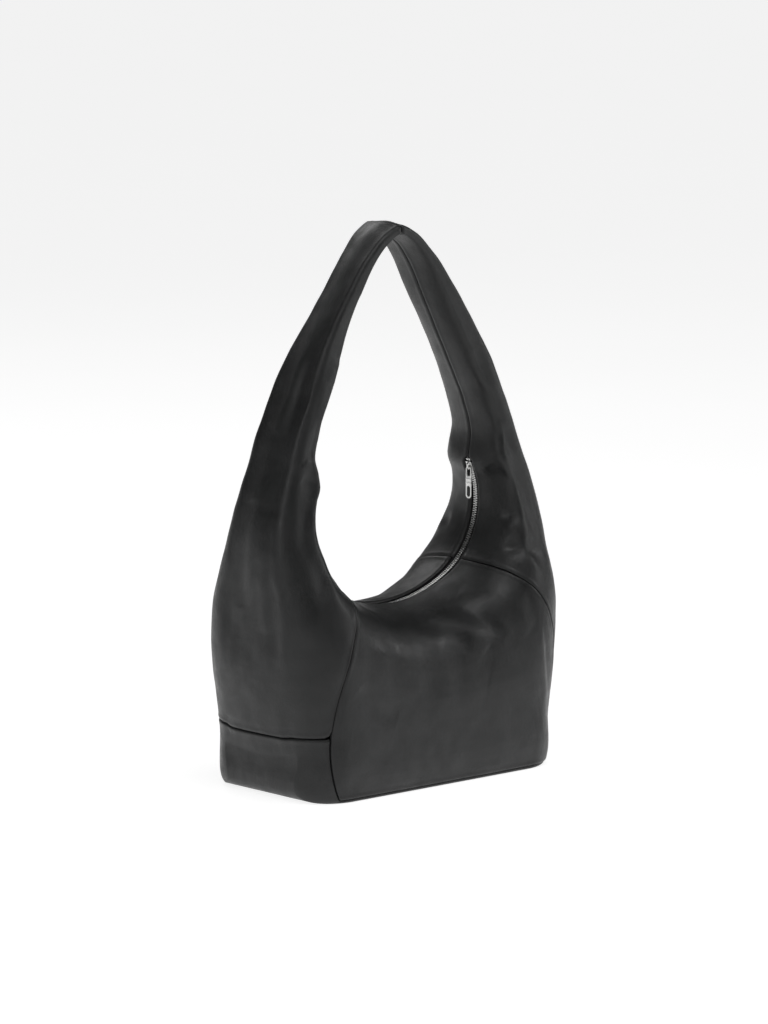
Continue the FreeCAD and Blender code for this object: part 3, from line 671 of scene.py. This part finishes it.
class Shading:
    """One node material, built a node at a time."""

    def __init__(self, name):
        self.material = bpy.data.materials.new(name)
        self.material.use_nodes = True
        self.nodes = self.material.node_tree.nodes
        self.links = self.material.node_tree.links
        self.shader = self.nodes["Principled BSDF"]
        self.place = self.nodes.new("ShaderNodeTexCoord").outputs["Object"]

    def noise(self, scale, detail=3.0, vector=None, colour=False):
        node = self.nodes.new("ShaderNodeTexNoise")
        node.inputs["Scale"].default_value = scale
        node.inputs["Detail"].default_value = detail
        self.links.new(self.place if vector is None else vector, node.inputs["Vector"])
        return node.outputs["Color" if colour else "Fac"]

    def stretched(self, scale):
        node = self.nodes.new("ShaderNodeMapping")
        node.inputs["Scale"].default_value = scale
        self.links.new(self.place, node.inputs["Vector"])
        return node.outputs["Vector"]

    def ramp(self, value, stops):
        node = self.nodes.new("ShaderNodeValToRGB")
        ends = node.color_ramp.elements
        for element, (position, colour) in zip(ends, (stops[0], stops[-1])):
            element.position = position
            element.color = (*colour, 1)
        for position, colour in stops[1:-1]:
            ends.new(position).color = (*colour, 1)
        self.links.new(value, node.inputs["Fac"])
        return node.outputs["Color"]

    def span(self, value, low, high, from_low=0.0, from_high=1.0):
        node = self.nodes.new("ShaderNodeMapRange")
        limits = {"From Min": from_low, "From Max": from_high, "To Min": low, "To Max": high}
        for key, number in limits.items():
            node.inputs[key].default_value = number
        self.links.new(value, node.inputs["Value"])
        return node.outputs["Result"]

    def bump(self, height, distance, strength=1.0, under=None):
        node = self.nodes.new("ShaderNodeBump")
        node.inputs["Distance"].default_value = distance
        node.inputs["Strength"].default_value = strength
        self.links.new(height, node.inputs["Height"])
        if under is not None:
            self.links.new(under, node.inputs["Normal"])
        return node.outputs["Normal"]

    def set(self, colour, roughness, normal):
        self.links.new(colour, self.shader.inputs["Base Color"])
        self.links.new(roughness, self.shader.inputs["Roughness"])
        self.links.new(normal, self.shader.inputs["Normal"])
        return self.material


def leather_material():
    """Soft black nappa: a fine pebble, pores, broad tonal drift and slightly shinier high spots."""
    m = Shading("black_nappa")
    m.shader.inputs["Specular IOR Level"].default_value = 0.42
    wander = m.noise(260, 4, colour=True)
    warp = m.nodes.new("ShaderNodeMix")
    warp.data_type = "VECTOR"
    warp.inputs["Factor"].default_value = 0.0035
    m.links.new(m.place, warp.inputs[4])
    m.links.new(wander, warp.inputs[5])
    pebble = m.nodes.new("ShaderNodeTexVoronoi")
    pebble.feature = "DISTANCE_TO_EDGE"
    pebble.inputs["Scale"].default_value = 780
    m.links.new(warp.outputs[1], pebble.inputs["Vector"])
    grain = m.span(pebble.outputs["Distance"], 0, 1, 0, 0.14)
    broad = m.noise(14, 5)
    patchy = m.noise(70, 6)
    colour = m.ramp(broad, ((0.3, (0.0060, 0.0064, 0.0066)), (0.55, (0.0090, 0.0094, 0.0096)),
                            (0.75, (0.0125, 0.0130, 0.0133))))
    rough = m.span(patchy, 0.31, 0.46, 0.3, 0.7)
    normal = m.bump(m.noise(38, 5), 0.0011, 0.5)
    normal = m.bump(m.noise(330, 3), 0.00022, 0.5, normal)
    normal = m.bump(grain, 0.00013, 0.55, normal)
    return m.set(colour, rough, normal)


def woven_material(name, dark, light, pitch, height, ribbed=False):
    """Cloth with two crossed sets of threads, or ribs across a tape."""
    m = Shading(name)
    waves = []
    for direction in (("X",) if ribbed else ("X", "Z")):
        wave = m.nodes.new("ShaderNodeTexWave")
        wave.bands_direction = direction
        wave.inputs["Scale"].default_value = 0.314 / pitch
        wave.inputs["Distortion"].default_value = 0.6
        m.links.new(m.place, wave.inputs["Vector"])
        waves.append(wave.outputs["Fac"])
    normal = None
    for wave in waves:
        normal = m.bump(wave, height, 0.8, normal)
    colour = m.ramp(m.noise(1 / pitch, 3), ((0.3, dark), (0.7, light)))
    return m.set(colour, m.span(m.noise(90, 2), 0.68, 0.85), normal)


def steel_material():
    """Polished nickel-plated metal with faint brushing and handling marks."""
    m = Shading("polished_nickel")
    m.shader.inputs["Metallic"].default_value = 1
    brushed = m.noise(900, 3, m.stretched((1, 1, 0.15)))
    smudge = m.noise(240, 4)
    colour = m.ramp(smudge, ((0.3, (0.52, 0.52, 0.51)), (0.7, (0.70, 0.70, 0.69))))
    return m.set(colour, m.span(smudge, 0.16, 0.34, 0.3, 0.7), m.bump(brushed, 0.00002, 0.5))


def thread_material():
    """Black twisted polyester thread."""
    m = Shading("black_thread")
    twist = m.noise(2600, 2, m.stretched((1, 1, 0.4)))
    colour = m.ramp(twist, ((0.3, (0.004, 0.004, 0.0045)), (0.7, (0.012, 0.012, 0.0125))))
    return m.set(colour, m.span(twist, 0.4, 0.6), m.bump(twist, 0.00008, 0.6))


def board_material():
    """Grey fibre board with flecks."""
    m = Shading("fibre_board")
    fleck = m.noise(700, 4, m.stretched((1, 3, 1)))
    colour = m.ramp(fleck, ((0.35, (0.07, 0.07, 0.068)), (0.65, (0.13, 0.13, 0.125))))
    return m.set(colour, m.span(fleck, 0.75, 0.92), m.bump(fleck, 0.0001, 0.6))


def padding_material():
    """Dark open foam, with painted shade in its pores."""
    m = Shading("strap_foam")
    cell = m.nodes.new("ShaderNodeTexVoronoi")
    cell.inputs["Scale"].default_value = 1100
    m.links.new(m.place, cell.inputs["Vector"])
    # Painted shade: the colour darkens towards each cell's centre, where the bump sinks into a pit.
    colour = m.ramp(cell.outputs["Distance"], ((0.1, (0.012, 0.012, 0.012)), (0.6, (0.035, 0.035, 0.036))))
    return m.set(colour, m.span(m.noise(60, 2), 0.8, 0.95), m.bump(cell.outputs["Distance"], 0.0003, 0.7))


TWILL = woven_material("black_twill", (0.007, 0.007, 0.0075), (0.013, 0.013, 0.0135), 0.0006, 0.0001)
TAPE = woven_material("zip_tape_weave", (0.004, 0.004, 0.0045), (0.009, 0.009, 0.0095), 0.0008, 0.00015, True)
STEEL = steel_material()
THREAD = thread_material()
BOARD = board_material()
PADDING = padding_material()
LEATHER = leather_material()
MIRROR_X = np.array((-1, 1, 1))
MIRROR_Y = np.array((1, -1, 1))


def finish_piece(piece, material, nodes):
    """Gives a piece its material and hides the CAD nodes that it replaces."""
    piece.data.materials.append(material)
    if nodes:
        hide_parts(*nodes)


SAG = sagged()
FRONT_WALL = wall_rule(LEFT_FRONT, RIGHT_FRONT)
BACK_WALL = wall_rule(BACK, BACK)
EDGES = (1.7,) * 4
for name, rule, mirror in (("front", FRONT_WALL, None), ("back", BACK_WALL, MIRROR_Y)):
    piece = panel(name + "_panel_leather", rule, 190, 120, EDGES, mirror)
    finish_piece(piece, LEATHER, [name + "_panel"])
    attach(piece, "bag")
SIDES = (("right", RIGHT_FRONT, None), ("left", LEFT_FRONT, MIRROR_X))
for side, front_seam, mirror in SIDES:
    piece = panel(side + "_side_leather", side_rule(front_seam, BACK), 290, 130, EDGES, mirror)
    finish_piece(piece, LEATHER, [side + "_side_panel", side + "_strap_half"])
    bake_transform(piece)
base = panel("base_leather", base_rule, 220, 110, EDGES)
finish_piece(base, LEATHER, ["base_panel"])
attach(base, "bag")

LINING_DEPTH = 3.4
LINING_EDGE = 15.5
LINING_THICKNESS = 0.5
NO_EDGES = (0,) * 4
for name, rule, mirror in (("front", wall_rule(LEFT_FRONT, RIGHT_FRONT, LINING_EDGE), None),
                           ("back", wall_rule(BACK, BACK, LINING_EDGE), MIRROR_Y)):
    piece = panel(name + "_lining", rule, 90, 60, NO_EDGES, mirror, LINING_DEPTH, LINING_THICKNESS)
    finish_piece(piece, TWILL, ["lining_" + name])
    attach(piece, "bag")
for side, front_seam, mirror in SIDES:
    rule = side_rule(front_seam, BACK, LINING_EDGE, TRACK_TOP - 20)
    piece = panel(side + "_lining", rule, 90, 70, NO_EDGES, mirror, LINING_DEPTH, LINING_THICKNESS)
    finish_piece(piece, TWILL, ["lining_" + side])
    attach(piece, "bag")


# Zip: the track is two arcs, and each part on it has X along the track and Z into the loop.
TAPE_DEPTH = 3.2
TRACK_MOUTH = MOUTH_RADIUS + TAPE_DEPTH
TRACK_BEND = BEND_RADIUS + TAPE_DEPTH
MOUTH_LENGTH = TRACK_MOUTH * math.radians(MOUTH_HALF_ANGLE)
BEND_LENGTH = TRACK_BEND * math.radians(TRACK_END - MOUTH_HALF_ANGLE)
TOOTH_PITCH = 2.5
SLIDER_SLOPE = 113.5
PIVOT_HEIGHT = 3.6


def track(distance):
    """Slope in degrees of the zip's track at a distance from its middle."""
    length = abs(distance)
    if length < MOUTH_LENGTH:
        slope = math.degrees(length / TRACK_MOUTH)
    else:
        slope = MOUTH_HALF_ANGLE + math.degrees((length - MOUTH_LENGTH) / TRACK_BEND)
    return math.copysign(slope, distance)


def on_track(places, slope):
    """Places, in millimetres, of a part's points once it is set on the zip."""
    angle = math.radians(abs(slope) - 90)
    side = -1 if slope < 0 else 1
    x, z, radius = 0, MOUTH_CENTRE_Z, TRACK_MOUTH
    if abs(slope) > MOUTH_HALF_ANGLE:
        x, z, radius = BEND_CENTRE_X, BEND_CENTRE_Z, TRACK_BEND
    tilt = math.radians(-slope)
    turned = np.stack((places[:, 0] * math.cos(tilt) + places[:, 2] * math.sin(tilt), places[:, 1],
                       places[:, 2] * math.cos(tilt) - places[:, 0] * math.sin(tilt)), -1)
    return turned + (side * (x + radius * math.cos(angle)), 0, z + radius * math.sin(angle))


def soft_block(low, high, bevel, segments=2):
    """Points and faces of a block with rounded edges."""
    low, high = np.array(low, float), np.array(high, float)
    form = bmesh.new()
    bmesh.ops.create_cube(form, size=1)
    for vert in form.verts:
        vert.co = Vector((low + high) / 2 + np.array(vert.co) * (high - low))
    bmesh.ops.bevel(form, geom=form.edges[:], offset=bevel, segments=segments, affect="EDGES", profile=0.6)
    places = np.array([vert.co for vert in form.verts])
    faces = [[vert.index for vert in face.verts] for face in form.faces]
    form.free()
    return places, faces


def joined(parts):
    """One set of points and faces from several."""
    places, faces, count = [], [], 0
    for part_places, part_faces in parts:
        places.append(part_places)
        faces += [[i + count for i in face] for face in part_faces]
        count += len(part_places)
    return np.concatenate(places), faces


def set_on_track(part, slope):
    return on_track(part[0], slope), part[1]


def flipped(part, axis):
    """The same part mirrored along one axis."""
    places = part[0].copy()
    places[:, axis] *= -1
    return places, [face[::-1] for face in part[1]]


def zip_teeth(side):
    """One row of teeth: a clamp round the tape's cord and a nose that reaches between its neighbours."""
    tooth = joined((soft_block((-0.72, 0.95, -1.15), (0.72, 2.95, 1.15), 0.28),
                    soft_block((-0.5, -0.55, -0.85), (0.5, 1.2, 0.85), 0.22)))
    if side < 0:
        tooth = flipped(tooth, 1)
    reach = MOUTH_LENGTH + BEND_LENGTH - 4
    row = []
    for i in range(int(2 * reach / TOOTH_PITCH)):
        distance = -reach + (i + 0.25 + 0.25 * side) * TOOTH_PITCH
        row.append(set_on_track(tooth, track(distance)))
    return joined(row)


def plate(outline, low, high, bevel, holes=()):
    """Points and faces of a flat plate with rounded edges, from its outline and holes in X and Y."""
    curve = bpy.data.curves.new("plate", "CURVE")
    curve.dimensions = "2D"
    curve.fill_mode = "BOTH"
    curve.extrude = (high - low) / 2 - bevel
    curve.bevel_depth = bevel
    curve.bevel_resolution = 2
    curve.offset = -bevel
    for loop in (outline, *holes):
        spline = curve.splines.new("POLY")
        spline.points.add(len(loop) - 1)
        spline.use_cyclic_u = True
        for point, (x, y) in zip(spline.points, loop):
            point.co = (x, y, 0, 1)
    holder = bpy.data.objects.new("plate", curve)
    bpy.context.collection.objects.link(holder)
    mesh = bpy.data.meshes.new_from_object(holder.evaluated_get(bpy.context.evaluated_depsgraph_get()))
    form = bmesh.new()
    form.from_mesh(mesh)
    bmesh.ops.remove_doubles(form, verts=form.verts, dist=1e-4)
    places = np.array([vert.co for vert in form.verts]) + (0, 0, (low + high) / 2)
    form.verts.index_update()
    faces = [[vert.index for vert in face.verts] for face in form.faces]
    form.free()
    bpy.data.objects.remove(holder)
    bpy.data.meshes.remove(mesh)
    return places, faces


def rounded(half_x, half_y, radius, centre=(0, 0), steps=6):
    """Outline of a rounded rectangle."""
    loop = []
    for corner, (sign_x, sign_y) in enumerate(((1, 1), (-1, 1), (-1, -1), (1, -1))):
        for k in range(steps + 1):
            angle = math.pi / 2 * (corner + k / steps)
            loop.append((centre[0] + sign_x * (half_x - radius) + radius * math.cos(angle),
                         centre[1] + sign_y * (half_y - radius) + radius * math.sin(angle)))
    return loop


def metal_piece(name, part, nodes, body, sharp=True):
    """Steel piece that rides on one body."""
    piece = mesh_of(name, part[0], part[1])
    if sharp:
        piece.data.set_sharp_from_angle(angle=math.radians(50))
    finish_piece(piece, STEEL, nodes)
    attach(piece, body)


def tube_faces(rings, sides):
    """Faces of a tube from its rings of points, with a flat cap at each end."""
    faces = []
    for i in range(rings - 1):
        low, high = i * sides, (i + 1) * sides
        faces += [[low + j, low + (j + 1) % sides, high + (j + 1) % sides, high + j] for j in range(sides)]
    last = (rings - 1) * sides
    return faces + [list(range(sides))[::-1], list(range(last, last + sides))]


for side, name in ((-1, "front"), (1, "back")):
    metal_piece("zip_teeth_row_" + name, zip_teeth(side), ["zip_teeth_" + name], "bag")
STOP = soft_block((-1.6, 0.5, -1.3), (1.6, 2.9, 1.3), 0.45, 3)
TOP_SLOPE = track(MOUTH_LENGTH + BEND_LENGTH - 1)
STOPS = joined([set_on_track(part, TOP_SLOPE) for part in (STOP, flipped(STOP, 1))])
metal_piece("top_stops", STOPS, ["zip_top_stops"], "bag")
LOW_STOP = set_on_track(soft_block((-1.8, -2.9, -1.4), (1.8, 2.9, 1.4), 0.5, 3), -TOP_SLOPE)
metal_piece("bottom_stop", LOW_STOP, ["zip_bottom_stop"], "bag")

# Slider: shield-shaped plates, wide at the closed end, flanges along both sides and an arched bridge.
SHIELD = [(-5.5, -2.9), (-4.2, -3.5), (0.5, -3.9), (3.6, -4.35), (5.0, -4.1), (5.5, -3.2), (5.2, -1.2),
          (4.4, 0), (5.2, 1.2), (5.5, 3.2), (5.0, 4.1), (3.6, 4.35), (0.5, 3.9), (-4.2, 3.5), (-5.5, 2.9)]
SLIDER = [plate(SHIELD, 1.6, 2.7, 0.3), plate(SHIELD, -2.7, -1.6, 0.3),
          soft_block((-5, -0.2, -1.7), (5, 0.2, 1.7), 0.05)]
for sign in (-1, 1):
    low, high = sorted((sign * 3.3, sign * 4.2))
    SLIDER.append(soft_block((-5.0, low, 1.1), (4.9, high, 2.2), 0.2))
    SLIDER.append(soft_block((-5.0, low, -2.2), (4.9, high, -1.1), 0.2))
SLIDER_SET = set_on_track(joined(SLIDER), SLIDER_SLOPE)
metal_piece("slider_body", SLIDER_SET, ["zip_slider"], "zip_slider")


def arch():
    """Bridge: a flat bar bent into an arch over the slider."""
    steps, sides = 26, 16
    half_reach, foot_z, rise = 4.0, 2.5, 2.45
    half_bar = np.array((1.25, 0.42))
    angle = np.linspace(0, math.pi, steps)
    line_x = -half_reach * np.sign(np.cos(angle)) * np.abs(np.cos(angle)) ** 0.6
    line_z = foot_z + rise * np.sin(angle) ** 0.6
    line = np.stack((line_x, line_z), -1)
    around = np.linspace(0, 2 * math.pi, sides, False)
    ring = half_bar * np.stack((np.cos(around), np.sin(around)), -1)
    ring = np.sign(ring) * np.abs(ring) ** 0.7 * half_bar ** 0.3
    along = np.gradient(line, axis=0)
    along /= np.linalg.norm(along, axis=-1, keepdims=True)
    places = []
    for (x, z), (dx, dz) in zip(line, along):
        places += [(x - dz * thick, wide, z + dx * thick) for wide, thick in ring]
    return np.array(places), tube_faces(steps, sides)


BRIDGE = set_on_track(arch(), SLIDER_SLOPE)
metal_piece("slider_bridge", BRIDGE, ["zip_slider_bridge"], "zip_slider", False)

# Pull: a long tab that hangs from the bridge, made flat in X and Y and then stood up in Y and Z.
PULL_TOP, PULL_FOOT, PULL_HALF = 0.6, -34.0, 4.2
TAB = rounded((PULL_TOP - PULL_FOOT) / 2, PULL_HALF, 3.6, ((PULL_TOP + PULL_FOOT) / 2, 0), 8)
SLOT = rounded(4.4, 2.7, 1.2, (-5.4, 0))
WINDOW = rounded(5.6, 2.5, 2.4, (-26.5, 0), 8)
PULL = [plate(TAB, -0.6, 0.6, 0.28, (SLOT, WINDOW))]
for place in (-13.4, -17.6):
    PULL.append(soft_block((place - 0.8, -4.2, -1.0), (place + 0.8, 4.2, 1.0), 0.4, 3))
PULL_PLACES, PULL_FACES = joined(PULL)
PIVOT_ANGLE = math.radians(SLIDER_SLOPE - 90)
PIVOT = np.array((BEND_CENTRE_X + (TRACK_BEND - PIVOT_HEIGHT) * math.cos(PIVOT_ANGLE), 0,
                  BEND_CENTRE_Z + (TRACK_BEND - PIVOT_HEIGHT) * math.sin(PIVOT_ANGLE)))
STOOD_UP = np.stack((PULL_PLACES[:, 2], PULL_PLACES[:, 1], PULL_PLACES[:, 0]), -1) + PIVOT
PULL_TAB = (STOOD_UP, [face[::-1] for face in PULL_FACES])
metal_piece("pull_tab", PULL_TAB, ["zip_pull"], "zip_pull")


def stitches(name, lines, length=2.3, pitch=3.1, radius=0.24):
    """Thread stitches along lines of points, in millimetres, each half sunk in the leather."""
    parts = []
    sides = 6
    around = np.linspace(0, 2 * math.pi, sides, False)
    for points, normals in lines:
        steps = np.concatenate(((0,), np.cumsum(np.linalg.norm(np.diff(points, axis=0), axis=1))))
        for start in np.arange(pitch / 2, steps[-1] - length, pitch):
            where = start + length * np.array((0, 0.18, 0.5, 0.82, 1))
            middle = np.stack([np.interp(where, steps, points[:, k]) for k in range(3)], -1)
            up = np.stack([np.interp(where, steps, normals[:, k]) for k in range(3)], -1)
            ahead = middle[-1] - middle[0]
            over = np.cross(up, ahead / np.linalg.norm(ahead))
            lift = np.array((-0.22, 0.04, 0.12, 0.04, -0.22))[:, None]
            thick = radius * np.array((0.6, 1, 1, 1, 0.6))
            rings = [m + n * h + r * (np.cos(around)[:, None] * o + np.sin(around)[:, None] * n)
                     for m, n, h, r, o in zip(middle, up, lift, thick, over)]
            parts.append((np.concatenate(rings), tube_faces(len(rings), sides)))
    return mesh_of(name, *joined(parts))


def stitch_line(t, depth, mirror=(1, 1, 1)):
    """Points and normals on the leather along the mouth at a distance from the middle plane."""
    w = at_depth(t, depth)
    grid = skin(t[:, None], w[:, None] + np.array((-0.004, 0, 0.004)))
    normals = normals_of(grid)[:, 1]
    points = grid[:, 1] + normals * (relief(grid[:, 1:2])[:, 0] + 0.2)[:, None]
    return points * mirror, normals * mirror


STITCH_INSET = 3.4
MOUTH_RUN = np.linspace(-TRACK_TOP - 1, TRACK_TOP + 1, 400)
LINES = [stitch_line(MOUTH_RUN, MOUTH_EDGE + STITCH_INSET, mirror) for mirror in ((1, 1, 1), (1, -1, 1))]
thread = stitches("mouth_stitching", LINES)
finish_piece(thread, THREAD, [])
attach(thread, "bag")

for names, material in ((("zip_tape_front", "zip_tape_back"), TAPE), (("lining_base",), TWILL),
                        (("base_board",), BOARD),
                        (("strap_core", "right_strap_foot", "left_strap_foot"), PADDING)):
    for name in names:
        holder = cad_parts[name]
        holder.data.materials.clear()
        holder.data.materials.append(material)


def softbox(name, place, aim, size, power):
    """Rectangular light that faces a point."""
    light = bpy.data.lights.new(name, "AREA")
    light.shape = "RECTANGLE"
    light.size, light.size_y = size
    light.energy = power
    lamp = bpy.data.objects.new(name, light)
    bpy.context.collection.objects.link(lamp)
    lamp.location = place
    lamp.rotation_euler = (Vector(aim) - Vector(place)).to_track_quat("-Z", "Y").to_euler()


def studio():
    """Pale flat floor under soft boxes; the room is white to look at and dimmer as a light."""
    world = bpy.data.worlds.new("studio")
    world.use_nodes = True
    nodes, links = world.node_tree.nodes, world.node_tree.links
    seen = nodes.new("ShaderNodeBackground")
    seen.inputs["Strength"].default_value = 1.0
    seen.inputs["Color"].default_value = (0.93, 0.93, 0.93, 1)
    room = nodes["Background"]
    room.inputs["Color"].default_value = (1, 1, 1, 1)
    room.inputs["Strength"].default_value = 0.09
    pick = nodes.new("ShaderNodeMixShader")
    path = nodes.new("ShaderNodeLightPath")
    links.new(path.outputs["Is Camera Ray"], pick.inputs["Fac"])
    links.new(room.outputs["Background"], pick.inputs[1])
    links.new(seen.outputs["Background"], pick.inputs[2])
    links.new(pick.outputs["Shader"], nodes["World Output"].inputs["Surface"])
    bpy.context.scene.world = world
    bpy.context.scene.view_settings.view_transform = "Standard"
    half = 40.0
    corners = [(-half, -half, 0), (half, -half, 0), (half, half, 0), (-half, half, 0)]
    mesh = bpy.data.meshes.new("floor")
    mesh.from_pydata(corners, [], [(0, 1, 2, 3)])
    floor = bpy.data.objects.new("floor", mesh)
    bpy.context.collection.objects.link(floor)
    m = Shading("pale_sweep")
    colour = m.ramp(m.noise(3, 2), ((0.3, (0.44, 0.44, 0.44)), (0.7, (0.46, 0.46, 0.46))))
    m.shader.inputs["Emission Color"].default_value = (1, 1, 1, 1)
    m.shader.inputs["Emission Strength"].default_value = 0.84
    rough = m.span(m.noise(5, 2), 0.85, 0.95)
    mesh.materials.append(m.set(colour, rough, m.bump(m.noise(40, 2), 0.0002, 0.1)))
    softbox("top", (-0.2, -0.6, 2.2), (0, 0, 0.25), (1.3, 0.8), 15)
    softbox("right_front", (2.2, -1.3, 1.4), (0, 0, 0.25), (0.6, 1.3), 15)
    softbox("left", (-2.6, -0.6, 1.6), (0, 0, 0.3), (0.7, 1.4), 13)
    softbox("behind", (0.8, 2.4, 1.9), (0, 0, 0.3), (1.2, 0.9), 10)


def camera():
    """Long lens that looks from the photo's side, slightly from above."""
    azimuth = math.radians(-41.94)
    elevation = math.radians(9.81)
    distance = 7.4
    aim = Vector((-0.0007, 0.0006, 0.2768))
    back = Vector((math.sin(azimuth) * math.cos(elevation), -math.cos(azimuth) * math.cos(elevation),
                   math.sin(elevation)))
    data = bpy.data.cameras.new("camera")
    data.lens = 250.0
    data.sensor_width = 36
    lens = bpy.data.objects.new("camera", data)
    bpy.context.collection.objects.link(lens)
    lens.location = aim + back * distance
    lens.rotation_euler = (-back).to_track_quat("-Z", "Y").to_euler()
    bpy.context.scene.camera = lens


studio()
camera()
